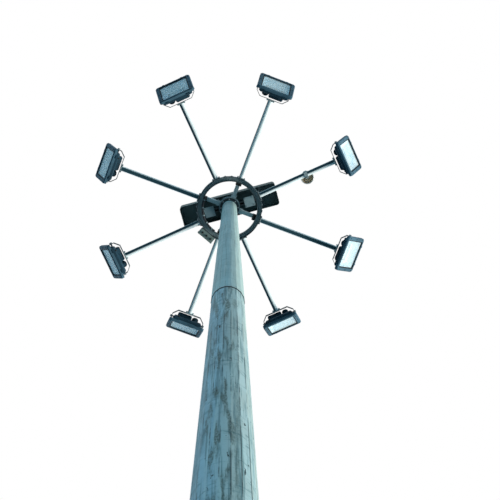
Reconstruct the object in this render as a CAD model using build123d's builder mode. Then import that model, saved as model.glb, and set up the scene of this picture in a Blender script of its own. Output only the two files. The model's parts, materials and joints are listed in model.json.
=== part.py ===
"""High mast floodlight tower with a lamp carriage that a winch lowers.

Units are millimetres and +Z is up. The origin is the middle of the underside of
the base flange, on its centre line. Arm 1 points along +X and the arms are
numbered anticlockwise as seen from above. The carriage is drawn docked at the top.
"""
import os
from math import cos, radians, sin, tan

from build123d import *

os.makedirs("parts", exist_ok=True)

# ---- fits ----
seat_gap = 0.3            # between pieces that seat on each other
running_gap = 5.0         # between pieces that move past each other

# ---- mast tube: two tapered many-sided sections joined by a sleeve ----
mast_sides = 18
facet_bearing = -64.6     # degrees, the way the middle of one facet faces
base_diameter = 484.0     # across corners
lower_joint_diameter = 330.0
lower_wall = 6.0
upper_top_diameter = 229.0
upper_wall = 5.0
joint_z = 12770.0         # lower rim of the upper section
sleeve_overlap = 520.0
mast_top_z = 19500.0

# ---- base ----
flange_diameter = 800.0
flange_thickness = 30.0
flange_bore = 380.0
flange_edge = 3.0
anchor_count = 12
anchor_hole = 36.0
anchor_circle = 690.0
gusset_count = 6
gusset_height = 260.0
gusset_thickness = 12.0
gusset_reach = 150.0
gusset_toe = 40.0

# ---- winch door ----
door_bearing = 115.4
door_bottom_z = 620.0
door_width = 200.0
door_height = 760.0
door_corner = 90.0
door_thickness = 6.0
door_frame_wall = 14.0
door_frame_proud = 14.0
door_frame_depth = 62.0
door_gap = 2.0
door_recess = 4.0
door_ledge = 6.0

# ---- head on top of the mast ----
collar_diameter = 305.0
collar_thickness = 25.0
head_bore = 190.0
hub_diameter = 300.0
hub_wall = 8.0
hub_rim_diameter = 328.0
hub_rim_thickness = 10.0
spoke_count = 4
spoke_width = 60.0
spoke_height = 70.0
spoke_wall = 5.0
spoke_reach = 458.0
dock_width = 90.0
dock_drop = 80.0          # from the spokes' underside to the face that the ring docks on
dock_inner_radius = 385.0
dock_outer_radius = 493.0
dock_horn_depth = 45.0
dock_horn_gap = 8.0       # between the horns and the inside of the ring
dock_horn_chamfer = 20.0

# ---- rope gear ----
beam_bearing = 9.4        # degrees, the way the hood and its beam lie
rope_diameter = 12.0
rope_fall_radius = 60.0   # ropes that go down inside the mast
outer_sheave_radius = 110.0
inner_sheave_radius = 80.0
sheave_flange = 9.0
sheave_width = 28.0
sheave_bore = 26.0
pin_diameter = 25.0
cheek_gap = 36.0
cheek_thickness = 8.0
cheek_height = 195.0
cheek_length = 1080.0
sheave_floor_gap = 12.0
guard_size = 160.0
guard_middle = 325.0
guard_thickness = 8.0
cross_bar_width = 40.0
cross_bar_thickness = 10.0
cross_bar_inset = 20.0
rope_tail = 60.0          # how far the ropes reach down into the mast top

# ---- hood ----
hood_length = 1560.0
hood_width = 360.0
hood_height = 250.0
hood_wall = 3.0
hood_corner = 45.0
hood_top_edge = 28.0
hood_lift = 85.0          # rim above the top of the hub

# ---- carriage ring ----
ring_outer_radius = 505.0
ring_inner_radius = 433.0
ring_height = 100.0
ring_web = 8.0
ring_flange = 7.0
anchor_block = 46.0
anchor_block_height = 40.0
anchor_block_corner = 6.0
anchor_block_edge = 5.0

# ---- arms ----
arm_count = 8
arm_diameter = 76.0
arm_wall = 4.0
shoe_width = 130.0
shoe_height = 100.0
shoe_thickness = 12.0
shoe_corner = 12.0

# ---- junction box and cable ----
box_bearing = 155.0
box_length = 260.0
box_depth = 100.0
box_height = 130.0
box_corner = 12.0
box_wall = 4.0
box_lid_thickness = 14.0
box_lid_lap = 6.0
box_lid_edge = 4.0
cable_diameter = 28.0
cable_drop = 25.0
cable_start = 148.0
cable_end = 232.0

# ---- round spot lamp on arm 1 ----
spot_radius_out = 1305.0
spot_side = 62.0
spot_diameter = 205.0
spot_depth = 150.0
spot_back_diameter = 80.0
spot_bulge_in = 0.25      # how far the dome has drawn in, and how far up, at its middle
spot_bulge_up = 0.62
spot_wall = 5.0
spot_rim = 14.0
spot_glass_thickness = 5.0
spot_glass_edge = 4.0
clamp_length = 52.0
clamp_width = 108.0
clamp_wall = 10.0

# ---- floodlights ----
tilt_radius = 1926.0      # from the mast's centre line to the tilt pins
aims = (62.0, 50.0, 57.0, 60.0, 65.0, 66.0, 62.0, 66.0)   # degrees out from straight down
lamp_front = 140.0        # front face ahead of the tilt pins
frame_width = 570.0
frame_height = 460.0
frame_depth = 50.0
frame_corner = 42.0
frame_bevel = 12.0
frame_side_bar = 55.0
frame_long_bar = 30.0
frame_lip = 18.0
glass_thickness = 6.0
glass_lap = 11.0
body_width = 470.0
body_height = 410.0
body_wall = 8.0
body_corner = 24.0
opening_corner = 10.0
body_back = 45.0          # where the straight front part ends, ahead of the pins
neck_height = 370.0
taper_back = -5.0
taper_width = 430.0
taper_height = 240.0
gear_radius = 98.0        # the gear drum is round about the tilt pins, so it clears the stirrup
gear_width = 226.0
gear_side = 57.0
gear_edge = 14.0
cap_diameter = 96.0
cap_side = -118.0
cap_back = -88.0
cap_edge = 14.0
pin_boss_diameter = 24.0
pin_boss_root = 40.0      # how deep the bosses start inside the straight part's side
pin_boss_end = 8.0

# ---- stirrups that carry the floodlights ----
stirrup_thickness = 8.0
stirrup_height = 60.0
stirrup_reach = 116.0     # from the pins back to the inside of the back bar
stirrup_flat = 180.0      # half the back bar, inside
stirrup_bend = 45.0
stirrup_side_gap = 16.0
stirrup_nose = 32.0


def save(piece, name):
    """Label one finished piece and write its STEP file."""
    piece.part.label = name
    export_step(piece.part, f"parts/{name}.step")


def bearing_plane(bearing, radius, z):
    """A plane whose x runs outward along the bearing and whose z is up."""
    out = (cos(radians(bearing)), sin(radians(bearing)), 0)
    origin = (radius * out[0], radius * out[1], z)
    return Plane(origin=origin, x_dir=out, z_dir=(0, 0, 1))


def upright_plane(bearing, side=0.0):
    """A plane through the mast's centre line: x runs outward and y is up."""
    angle = radians(bearing)
    origin = (-side * sin(angle), side * cos(angle), 0)
    return Plane(origin=origin, x_dir=(cos(angle), sin(angle), 0), z_dir=(sin(angle), -cos(angle), 0))


# ---- mast sizes that follow ----
polygon_turn = facet_bearing + 180 / mast_sides
foot_z = flange_thickness
rim_diameter = lower_joint_diameter + 2 * (seat_gap + upper_wall)
upper_taper = (rim_diameter - upper_top_diameter) / (mast_top_z - joint_z)
lower_taper = (base_diameter - lower_joint_diameter) / (joint_z - foot_z)
spigot_top_z = joint_z + sleeve_overlap
spigot_diameter = lower_joint_diameter - upper_taper * sleeve_overlap


def mast_outline(z, diameter):
    """One level of a mast section."""
    with BuildSketch(Plane.XY.offset(z)) as outline:
        RegularPolygon(radius=diameter / 2, side_count=mast_sides, rotation=polygon_turn)
    return outline.sketch


def mast_flat_radius(z):
    """Distance from the centre line to the middle of a facet of the lower section."""
    return (base_diameter - lower_taper * (z - foot_z)) / 2 * cos(radians(180 / mast_sides))


# ---- base flange, bolted to the foundation ----
with BuildPart() as base_flange:
    with BuildSketch():
        Circle(flange_diameter / 2)
        Circle(flange_bore / 2, mode=Mode.SUBTRACT)
        with PolarLocations(anchor_circle / 2, anchor_count, start_angle=facet_bearing + 180 / anchor_count):
            Circle(anchor_hole / 2, mode=Mode.SUBTRACT)
    extrude(amount=flange_thickness)
    chamfer(base_flange.faces().sort_by(Axis.Z)[-1].outer_wire().edges(), flange_edge)
save(base_flange, "base_flange")

# ---- gussets between the flange and the lower section ----
with BuildPart() as base_gussets:
    for gusset_index in range(gusset_count):
        gusset_bearing = facet_bearing + gusset_index * 360 / gusset_count
        inner_foot = mast_flat_radius(foot_z) + seat_gap
        inner_head = mast_flat_radius(foot_z + gusset_height) + seat_gap
        with BuildSketch(upright_plane(gusset_bearing)):
            with BuildLine():
                Polyline(
                    (inner_foot, foot_z),
                    (inner_foot + gusset_reach, foot_z),
                    (inner_foot + gusset_reach, foot_z + gusset_toe),
                    (inner_head + gusset_toe, foot_z + gusset_height),
                    (inner_head, foot_z + gusset_height),
                    close=True,
                )
            make_face()
        extrude(amount=gusset_thickness / 2, both=True)
save(base_gussets, "base_gussets")

# ---- lower section, with the cut-out for the door frame and a spigot for the sleeve ----
door_plane = bearing_plane(door_bearing, 0, door_bottom_z + door_height / 2)
door_sketch_plane = Plane(origin=door_plane.origin, x_dir=door_plane.y_dir, z_dir=door_plane.x_dir)
frame_outer_width = door_width + 2 * door_frame_wall
frame_outer_height = door_height + 2 * door_frame_wall
frame_outer_corner = door_corner + door_frame_wall
frame_face_radius = mast_flat_radius(door_bottom_z) + door_frame_proud
with BuildPart() as lower_section:
    levels = (
        (foot_z, base_diameter),
        (joint_z, lower_joint_diameter),
        (spigot_top_z, spigot_diameter),
    )
    loft([mast_outline(z, diameter) for z, diameter in levels], ruled=True)
    loft(
        [mast_outline(z, diameter - 2 * lower_wall) for z, diameter in levels],
        ruled=True,
        mode=Mode.SUBTRACT,
    )
    with BuildSketch(door_sketch_plane):
        RectangleRounded(
            frame_outer_width + 2 * seat_gap, frame_outer_height + 2 * seat_gap, frame_outer_corner + seat_gap
        )
    extrude(amount=base_diameter, mode=Mode.SUBTRACT)
save(lower_section, "lower_section")

# ---- upper section, sleeved over the spigot ----
with BuildPart() as upper_section:
    levels = ((joint_z, rim_diameter), (mast_top_z, upper_top_diameter))
    loft([mast_outline(z, diameter) for z, diameter in levels], ruled=True)
    loft(
        [mast_outline(z, diameter - 2 * upper_wall) for z, diameter in levels],
        ruled=True,
        mode=Mode.SUBTRACT,
    )
save(upper_section, "upper_section")

# ---- door frame and door, closed ----
frame_back_radius = frame_face_radius - door_frame_depth
door_face_radius = frame_face_radius - door_recess
with BuildPart() as door_frame:
    with BuildSketch(door_sketch_plane.offset(frame_back_radius)):
        RectangleRounded(frame_outer_width, frame_outer_height, frame_outer_corner)
        RectangleRounded(
            door_width - 2 * door_ledge,
            door_height - 2 * door_ledge,
            door_corner - door_ledge,
            mode=Mode.SUBTRACT,
        )
    extrude(amount=door_frame_depth)
    with BuildSketch(door_sketch_plane.offset(door_face_radius - door_thickness)):
        RectangleRounded(door_width, door_height, door_corner)
    extrude(amount=door_thickness + door_recess, mode=Mode.SUBTRACT)
save(door_frame, "door_frame")

with BuildPart() as base_door:
    with BuildSketch(door_sketch_plane.offset(door_face_radius - door_thickness)):
        RectangleRounded(door_width - 2 * door_gap, door_height - 2 * door_gap, door_corner - door_gap)
    extrude(amount=door_thickness)
save(base_door, "base_door")

# ---- head: collar, hub, spokes and docking guides ----
collar_top_z = mast_top_z + collar_thickness
with BuildPart() as mast_collar:
    with BuildSketch(Plane.XY.offset(mast_top_z)):
        Circle(collar_diameter / 2)
        Circle(head_bore / 2, mode=Mode.SUBTRACT)
    extrude(amount=collar_thickness)
save(mast_collar, "mast_collar")

spoke_bottom_z = collar_top_z + hub_rim_thickness
spoke_top_z = spoke_bottom_z + spoke_height
hub_top_z = spoke_top_z + hub_rim_thickness
with BuildPart() as head_hub:
    with BuildSketch(Plane.XY.offset(collar_top_z)):
        Circle(hub_diameter / 2)
    extrude(amount=hub_top_z - collar_top_z)
    with BuildSketch(Plane.XY.offset(collar_top_z), Plane.XY.offset(spoke_top_z)):
        Circle(hub_rim_diameter / 2)
    extrude(amount=hub_rim_thickness)
    with BuildSketch(Plane.XY.offset(collar_top_z)):
        Circle(hub_diameter / 2 - hub_wall)
    extrude(amount=hub_top_z - collar_top_z, mode=Mode.SUBTRACT)
save(head_hub, "head_hub")

with BuildPart() as head_spokes:
    for spoke_index in range(spoke_count):
        spoke_bearing = (spoke_index + 0.5) * 360 / spoke_count
        spoke_inner = hub_diameter / 2 + seat_gap
        end_plane = bearing_plane(spoke_bearing, spoke_inner, (spoke_bottom_z + spoke_top_z) / 2)
        with BuildSketch(Plane(origin=end_plane.origin, x_dir=end_plane.y_dir, z_dir=end_plane.x_dir)):
            Rectangle(spoke_width, spoke_height)
            Rectangle(spoke_width - 2 * spoke_wall, spoke_height - 2 * spoke_wall, mode=Mode.SUBTRACT)
        extrude(amount=spoke_reach - spoke_inner)
save(head_spokes, "head_spokes")

dock_floor_z = spoke_bottom_z - dock_drop
ring_top_z = dock_floor_z - running_gap
ring_bottom_z = ring_top_z - ring_height
carriage_z = ring_top_z - ring_height / 2
horn_outer_radius = ring_inner_radius - dock_horn_gap
horn_floor_z = ring_top_z - dock_horn_depth
with BuildPart() as docking_guides:
    for spoke_index in range(spoke_count):
        spoke_bearing = (spoke_index + 0.5) * 360 / spoke_count
        with BuildSketch(upright_plane(spoke_bearing)):
            with BuildLine():
                Polyline(
                    (dock_inner_radius, spoke_bottom_z),
                    (dock_outer_radius, spoke_bottom_z),
                    (dock_outer_radius, dock_floor_z),
                    (horn_outer_radius, dock_floor_z),
                    (horn_outer_radius, horn_floor_z + dock_horn_chamfer),
                    (horn_outer_radius - dock_horn_chamfer, horn_floor_z),
                    (dock_inner_radius, horn_floor_z),
                    close=True,
                )
            make_face()
        extrude(amount=dock_width / 2, both=True)
save(docking_guides, "docking_guides")

# ---- rope gear: cheeks, sheaves, pins, guards and ropes ----
rope_drop_radius = (ring_inner_radius + ring_outer_radius) / 2
outer_sheave_out = rope_drop_radius - outer_sheave_radius
inner_sheave_out = rope_fall_radius + inner_sheave_radius
outer_sheave_z = hub_top_z + sheave_floor_gap + outer_sheave_radius + sheave_flange
rope_top_z = outer_sheave_z + outer_sheave_radius
inner_sheave_z = rope_top_z - inner_sheave_radius
cheek_top_z = hub_top_z + cheek_height
cheek_face = cheek_gap / 2
beam_plane = upright_plane(beam_bearing)
sheaves = (
    (outer_sheave_out, outer_sheave_z, outer_sheave_radius),
    (inner_sheave_out, inner_sheave_z, inner_sheave_radius),
    (-inner_sheave_out, inner_sheave_z, inner_sheave_radius),
    (-outer_sheave_out, outer_sheave_z, outer_sheave_radius),
)

with BuildPart() as beam_cheeks:
    for side in (-1, 1):
        near = side * (cheek_face + cheek_thickness / 2)
        with BuildSketch(beam_plane.offset(near)):
            with Locations((0, hub_top_z + cheek_height / 2)):
                Rectangle(cheek_length, cheek_height)
            for out, height, radius in sheaves:
                with Locations((out, height)):
                    Circle(pin_diameter / 2 + seat_gap, mode=Mode.SUBTRACT)
        extrude(amount=cheek_thickness / 2, both=True)
save(beam_cheeks, "beam_cheeks")

with BuildPart() as rope_sheaves:
    for out, height, radius in sheaves:
        with BuildSketch(beam_plane):
            with Locations((out, height)):
                Circle(radius + sheave_flange)
                Circle(sheave_bore / 2, mode=Mode.SUBTRACT)
        extrude(amount=sheave_width / 2, both=True)
        groove_floor = radius - rope_diameter / 2 - seat_gap
        with BuildSketch(beam_plane):
            with Locations((out, height)):
                Circle(radius + sheave_flange)
                Circle(groove_floor, mode=Mode.SUBTRACT)
        extrude(amount=rope_diameter / 2 + seat_gap, both=True, mode=Mode.SUBTRACT)
save(rope_sheaves, "rope_sheaves")

with BuildPart() as sheave_pins:
    for out, height, radius in sheaves:
        with BuildSketch(beam_plane):
            with Locations((out, height)):
                Circle(pin_diameter / 2)
        extrude(amount=cheek_face + 2 * cheek_thickness, both=True)
save(sheave_pins, "sheave_pins")

beam_level = Plane(origin=(0, 0, 0), x_dir=beam_plane.x_dir, z_dir=(0, 0, 1))
with BuildPart() as rope_guards:
    with BuildSketch(beam_level.offset(hub_top_z)):
        with Locations((-guard_middle, 0), (guard_middle, 0)):
            RectangleRounded(guard_size, guard_size, guard_thickness)
    extrude(amount=-guard_thickness)
save(rope_guards, "rope_guards")

with BuildPart() as hood_bars:
    with BuildSketch(beam_level.offset(cheek_top_z)):
        bar_out = cheek_length / 2 - cross_bar_inset
        with Locations((-bar_out, 0), (bar_out, 0)):
            Rectangle(cross_bar_width, hood_width - 2 * hood_wall - 2 * seat_gap)
    extrude(amount=cross_bar_thickness)
save(hood_bars, "hood_bars")

with BuildPart() as head_ropes:
    for side in (-1, 1):
        with BuildLine(beam_plane) as rope_route:
            outer_arc = CenterArc(
                (side * outer_sheave_out, outer_sheave_z), outer_sheave_radius, 90 - 90 * side, 90 * side
            )
            span = Line(outer_arc @ 1, (side * inner_sheave_out, rope_top_z))
            inner_arc = CenterArc(
                (side * inner_sheave_out, inner_sheave_z), inner_sheave_radius, 90, 90 * side
            )
            Line(inner_arc @ 1, (side * rope_fall_radius, mast_top_z - rope_tail))
        with BuildSketch(Plane(origin=outer_arc @ 0, z_dir=outer_arc % 0)):
            Circle(rope_diameter / 2)
        sweep(path=rope_route.wires()[0])
save(head_ropes, "head_ropes")

# ---- hood, open underneath ----
hood_rim_z = hub_top_z + hood_lift
with BuildPart() as hood:
    with BuildSketch(beam_level.offset(hood_rim_z)):
        RectangleRounded(hood_length, hood_width, hood_corner)
    extrude(amount=hood_height)
    fillet(hood.faces().sort_by(Axis.Z)[-1].edges(), hood_top_edge)
    offset(amount=-hood_wall, openings=hood.faces().sort_by(Axis.Z)[0])
save(hood, "hood")

# ---- carriage: ring, rope anchors, arms and shoes ----
with BuildPart() as carriage_ring:
    with BuildSketch(Plane.XZ):
        with BuildLine():
            Polyline(
                (ring_inner_radius, ring_bottom_z),
                (ring_inner_radius + ring_flange, ring_bottom_z),
                (ring_inner_radius + ring_flange, ring_top_z - ring_web),
                (ring_outer_radius - ring_flange, ring_top_z - ring_web),
                (ring_outer_radius - ring_flange, ring_bottom_z),
                (ring_outer_radius, ring_bottom_z),
                (ring_outer_radius, ring_top_z),
                (ring_inner_radius, ring_top_z),
                close=True,
            )
        make_face()
    revolve(axis=Axis.Z)
save(carriage_ring, "carriage_ring")

anchor_top_z = ring_top_z + anchor_block_height
with BuildPart() as rope_anchors:
    with BuildSketch(beam_level.offset(ring_top_z)):
        with Locations((-rope_drop_radius, 0), (rope_drop_radius, 0)):
            RectangleRounded(anchor_block, anchor_block, anchor_block_corner)
    extrude(amount=anchor_block_height)
    chamfer(rope_anchors.faces().group_by(Axis.Z)[-1].edges(), anchor_block_edge)
save(rope_anchors, "rope_anchors")

with BuildPart() as hoist_ropes:
    with BuildSketch(beam_level.offset(anchor_top_z)):
        with Locations((-rope_drop_radius, 0), (rope_drop_radius, 0)):
            Circle(rope_diameter / 2)
    extrude(amount=outer_sheave_z - anchor_top_z)
save(hoist_ropes, "hoist_ropes")

arm_bearings = [index * 360 / arm_count for index in range(arm_count)]
arm_root_radius = ring_outer_radius + seat_gap
stirrup_inner_back = tilt_radius - stirrup_reach
stirrup_back = stirrup_inner_back - stirrup_thickness
arm_end_radius = stirrup_back - shoe_thickness
with BuildPart() as arm_tubes:
    for bearing in arm_bearings:
        root = bearing_plane(bearing, arm_root_radius, carriage_z)
        with BuildSketch(Plane(origin=root.origin, x_dir=root.y_dir, z_dir=root.x_dir)):
            Circle(arm_diameter / 2)
            Circle(arm_diameter / 2 - arm_wall, mode=Mode.SUBTRACT)
        extrude(amount=arm_end_radius - arm_root_radius)
save(arm_tubes, "arm_tubes")

with BuildPart() as arm_shoes:
    for bearing in arm_bearings:
        end = bearing_plane(bearing, arm_end_radius, carriage_z)
        with BuildSketch(Plane(origin=end.origin, x_dir=end.y_dir, z_dir=end.x_dir)):
            RectangleRounded(shoe_width, shoe_height, shoe_corner)
        extrude(amount=shoe_thickness)
save(arm_shoes, "arm_shoes")

# ---- stirrups: flat bar bent to a U with splayed corners ----
stirrup_inside = body_width / 2 + stirrup_side_gap
stirrup_outside = stirrup_inside + stirrup_thickness
splay_end = stirrup_inner_back + (stirrup_inside - stirrup_flat) / tan(radians(stirrup_bend))
mitre = stirrup_thickness * tan(radians(stirrup_bend / 2))
stirrup_tip = tilt_radius + stirrup_nose
with BuildPart() as stirrups:
    for bearing in arm_bearings:
        with BuildSketch(bearing_plane(bearing, 0, carriage_z - stirrup_height / 2)):
            with BuildLine():
                Polyline(
                    (stirrup_tip, -stirrup_outside),
                    (splay_end - mitre, -stirrup_outside),
                    (stirrup_back, -stirrup_flat - mitre),
                    (stirrup_back, stirrup_flat + mitre),
                    (splay_end - mitre, stirrup_outside),
                    (stirrup_tip, stirrup_outside),
                    (stirrup_tip, stirrup_inside),
                    (splay_end, stirrup_inside),
                    (stirrup_inner_back, stirrup_flat),
                    (stirrup_inner_back, -stirrup_flat),
                    (splay_end, -stirrup_inside),
                    (stirrup_tip, -stirrup_inside),
                    close=True,
                )
            make_face()
        extrude(amount=stirrup_height)
        pin_plane = upright_plane(bearing)
        with BuildSketch(pin_plane):
            with Locations((tilt_radius, carriage_z)):
                Circle(pin_boss_diameter / 2 + seat_gap)
        extrude(amount=frame_width, both=True, mode=Mode.SUBTRACT)
save(stirrups, "stirrups")

# ---- junction box on the ring, and the cable that runs round inside the ring ----
box_plane = bearing_plane(box_bearing, ring_outer_radius + seat_gap, carriage_z - box_height / 2)
with BuildPart() as junction_box:
    with BuildSketch(box_plane):
        with Locations(((box_depth - box_lid_thickness) / 2, 0)):
            Rectangle(box_depth - box_lid_thickness, box_length)
    extrude(amount=box_height)
    fillet(junction_box.edges().filter_by(Axis.Z), box_corner)
    with BuildSketch(box_plane.offset(box_wall)):
        with Locations(((box_depth - box_lid_thickness + box_wall) / 2, 0)):
            Rectangle(box_depth - box_lid_thickness - box_wall, box_length - 2 * box_wall - box_corner)
    extrude(amount=box_height - 2 * box_wall, mode=Mode.SUBTRACT)
save(junction_box, "junction_box")

lid_seat = box_plane.from_local_coords((box_depth - box_lid_thickness, 0, box_height / 2))
lid_plane = Plane(
    origin=lid_seat,
    x_dir=box_plane.y_dir,
    z_dir=box_plane.x_dir,
)
with BuildPart() as junction_box_lid:
    with BuildSketch(lid_plane):
        RectangleRounded(box_length + 2 * box_lid_lap, box_height + 2 * box_lid_lap, box_corner)
    extrude(amount=box_lid_thickness)
    lid_face = junction_box_lid.faces().sort_by(Axis(lid_seat, lid_plane.z_dir))[-1]
    chamfer(lid_face.edges(), box_lid_edge)
save(junction_box_lid, "junction_box_lid")

cable_radius = ring_inner_radius - cable_diameter / 2 - seat_gap
cable_z = carriage_z - cable_drop
with BuildPart() as ring_cable:
    with BuildLine(Plane.XY.offset(cable_z)) as cable_route:
        cable_arc = CenterArc((0, 0), cable_radius, cable_start, cable_end - cable_start)
    with BuildSketch(Plane(origin=cable_arc @ 0, z_dir=cable_arc % 0)):
        Circle(cable_diameter / 2)
    sweep(path=cable_route.wires()[0])
save(ring_cable, "ring_cable")

# ---- spot lamp: clamp on arm 1, housing open downward, glass ----
clamp_top_z = carriage_z + arm_diameter / 2 + clamp_wall
with BuildPart() as spot_clamp:
    with BuildSketch(Plane.YZ.offset(spot_radius_out - clamp_length / 2)):
        with Locations((0, carriage_z)):
            RectangleRounded(clamp_width, arm_diameter + 2 * clamp_wall, clamp_wall)
            Circle(arm_diameter / 2 + seat_gap, mode=Mode.SUBTRACT)
    extrude(amount=clamp_length)
save(spot_clamp, "spot_clamp")

spot_plane = Plane(origin=(spot_radius_out, spot_side, 0), x_dir=(1, 0, 0), z_dir=(0, -1, 0))
spot_axis = Axis((spot_radius_out, spot_side, 0), (0, 0, 1))
spot_radius = spot_diameter / 2
spot_back_radius = spot_back_diameter / 2
spot_ledge_z = clamp_top_z + spot_rim
spot_top_z = clamp_top_z + spot_depth
bulge_radius = spot_radius - (spot_radius - spot_back_radius) * spot_bulge_in
bulge_z = spot_ledge_z + (spot_top_z - spot_ledge_z) * spot_bulge_up
with BuildPart() as spot_housing:
    with BuildSketch(spot_plane):
        with BuildLine():
            Polyline((spot_radius - spot_rim, spot_ledge_z), (spot_radius - spot_rim, clamp_top_z))
            Polyline(
                (spot_radius - spot_rim, clamp_top_z), (spot_radius, clamp_top_z), (spot_radius, spot_ledge_z)
            )
            ThreePointArc(
                (spot_radius, spot_ledge_z), (bulge_radius, bulge_z), (spot_back_radius, spot_top_z)
            )
            Polyline(
                (spot_back_radius, spot_top_z),
                (0, spot_top_z),
                (0, spot_top_z - spot_wall),
                (spot_back_radius - spot_wall, spot_top_z - spot_wall),
            )
            ThreePointArc(
                (spot_back_radius - spot_wall, spot_top_z - spot_wall),
                (bulge_radius - spot_wall, bulge_z - spot_wall),
                (spot_radius - spot_wall, spot_ledge_z),
            )
            Line((spot_radius - spot_wall, spot_ledge_z), (spot_radius - spot_rim, spot_ledge_z))
        make_face()
    revolve(axis=spot_axis)
save(spot_housing, "spot_housing")

with BuildPart() as spot_glass:
    with BuildSketch(Plane.XY.offset(spot_ledge_z)):
        with Locations((spot_radius_out, spot_side)):
            Circle(spot_radius - spot_wall - spot_glass_edge)
    extrude(amount=spot_glass_thickness)
save(spot_glass, "spot_glass")

# ---- floodlights: housing, front frame and glass, one set on each arm ----
glass_front = lamp_front - frame_lip
glass_back = glass_front - glass_thickness
body_front = glass_back - seat_gap
opening_width = frame_width - 2 * frame_side_bar
opening_height = frame_height - 2 * frame_long_bar
glass_width = opening_width + 2 * glass_lap
glass_height = opening_height + 2 * glass_lap


def lamp_plane(bearing, aim):
    """A plane on the tilt pins: x along them, y up the glass and z out of the front."""
    angle = radians(bearing)
    tilt = radians(aim)
    pivot = (tilt_radius * cos(angle), tilt_radius * sin(angle), carriage_z)
    ahead = (sin(tilt) * cos(angle), sin(tilt) * sin(angle), -cos(tilt))
    return Plane(origin=pivot, x_dir=(-sin(angle), cos(angle), 0), z_dir=ahead)


for lamp_number, (bearing, aim) in enumerate(zip(arm_bearings, aims), start=1):
    lamp = lamp_plane(bearing, aim)

    with BuildPart() as housing:
        with BuildSketch(lamp.offset(body_back)):
            RectangleRounded(body_width, body_height, body_corner)
        extrude(amount=body_front - body_back)
        with BuildSketch(lamp.offset(body_back)):
            RectangleRounded(body_width, neck_height, body_corner)
        with BuildSketch(lamp.offset(taper_back)):
            RectangleRounded(taper_width, taper_height, body_corner)
        loft()
        with BuildSketch(Plane(lamp.origin, lamp.x_dir, -lamp.y_dir)):
            gear_near = gear_side - gear_width / 2
            gear_far = gear_side + gear_width / 2
            with BuildLine():
                Polyline(
                    (gear_near, 0),
                    (gear_near, -gear_radius + gear_edge),
                    (gear_near + gear_edge, -gear_radius),
                    (gear_far - gear_edge, -gear_radius),
                    (gear_far, -gear_radius + gear_edge),
                    (gear_far, 0),
                    close=True,
                )
            make_face()
        revolve(axis=Axis(lamp.origin, lamp.x_dir))
        with BuildSketch(Plane(lamp.from_local_coords((cap_side, 0, taper_back)), lamp.x_dir, -lamp.z_dir)):
            Circle(cap_diameter / 2)
        extrude(amount=taper_back - cap_back)
        cap_face = housing.faces().sort_by(Axis(lamp.origin, -lamp.z_dir)).filter_by(GeomType.PLANE)[-1]
        chamfer(cap_face.edges(), cap_edge)
        for side in (-1, 1):
            boss_root = body_width / 2 - pin_boss_root
            boss_length = stirrup_outside + pin_boss_end - boss_root
            boss_foot = lamp.from_local_coords((side * boss_root, 0, 0))
            with BuildSketch(Plane(boss_foot, lamp.z_dir, side * lamp.x_dir)):
                Circle(pin_boss_diameter / 2)
            extrude(amount=boss_length)
        inside_width = body_width - 2 * body_wall
        inside_corner = body_corner - body_wall
        with BuildSketch(lamp.offset(body_back)):
            RectangleRounded(inside_width, body_height - 2 * body_wall, inside_corner)
        extrude(amount=body_front - body_back, mode=Mode.SUBTRACT)
        with BuildSketch(lamp.offset(body_back)):
            RectangleRounded(inside_width, neck_height - 2 * body_wall, inside_corner)
        with BuildSketch(lamp.offset(taper_back + body_wall)):
            RectangleRounded(taper_width - 2 * body_wall, taper_height - 2 * body_wall, inside_corner)
        loft(mode=Mode.SUBTRACT)
    save(housing, f"lamp_{lamp_number}_housing")

    with BuildPart() as front_frame:
        with BuildSketch(lamp.offset(lamp_front - frame_depth)):
            RectangleRounded(frame_width, frame_height, frame_corner)
            RectangleRounded(opening_width, opening_height, opening_corner, mode=Mode.SUBTRACT)
        extrude(amount=frame_depth)
        front_face = front_frame.faces().sort_by(Axis(lamp.origin, lamp.z_dir))[-1]
        chamfer(front_face.outer_wire().edges(), frame_bevel)
        with BuildSketch(lamp.offset(lamp_front - frame_depth)):
            RectangleRounded(glass_width + 2 * seat_gap, glass_height + 2 * seat_gap, body_corner)
        extrude(amount=frame_depth - frame_lip, mode=Mode.SUBTRACT)
    save(front_frame, f"lamp_{lamp_number}_frame")

    with BuildPart() as glass:
        with BuildSketch(lamp.offset(glass_back)):
            RectangleRounded(glass_width, glass_height, body_corner)
        extrude(amount=glass_thickness)
    save(glass, f"lamp_{lamp_number}_glass")
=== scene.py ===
# %% [markdown]
# # High mast floodlight tower
# A tapered steel mast carries a ring of eight floodlights that a winch lowers for
# lamp changes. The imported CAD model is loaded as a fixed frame, and everything here
# dresses it: finishes, bolts, welds, ropes, reflectors and lamps. Sizes are metres.

# %% Load the frame
import json
from math import atan2, cos, pi, radians, sin

import bmesh
import bpy
from mathutils import Matrix, Vector


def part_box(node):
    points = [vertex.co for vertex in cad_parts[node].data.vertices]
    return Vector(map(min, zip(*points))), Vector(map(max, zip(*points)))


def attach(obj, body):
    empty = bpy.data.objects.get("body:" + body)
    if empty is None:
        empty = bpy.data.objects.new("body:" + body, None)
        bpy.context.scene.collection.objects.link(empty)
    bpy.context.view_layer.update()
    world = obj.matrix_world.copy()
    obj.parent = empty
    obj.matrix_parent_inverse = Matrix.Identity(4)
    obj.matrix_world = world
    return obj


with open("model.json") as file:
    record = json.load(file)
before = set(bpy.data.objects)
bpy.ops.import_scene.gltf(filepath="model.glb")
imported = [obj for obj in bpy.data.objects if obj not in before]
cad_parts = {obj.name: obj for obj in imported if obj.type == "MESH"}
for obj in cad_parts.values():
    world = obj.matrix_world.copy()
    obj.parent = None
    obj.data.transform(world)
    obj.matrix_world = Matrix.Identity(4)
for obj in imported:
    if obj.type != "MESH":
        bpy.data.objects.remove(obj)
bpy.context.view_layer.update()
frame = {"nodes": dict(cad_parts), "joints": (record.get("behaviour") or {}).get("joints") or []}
nodes = frame["nodes"]
scene = bpy.context.scene
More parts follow.
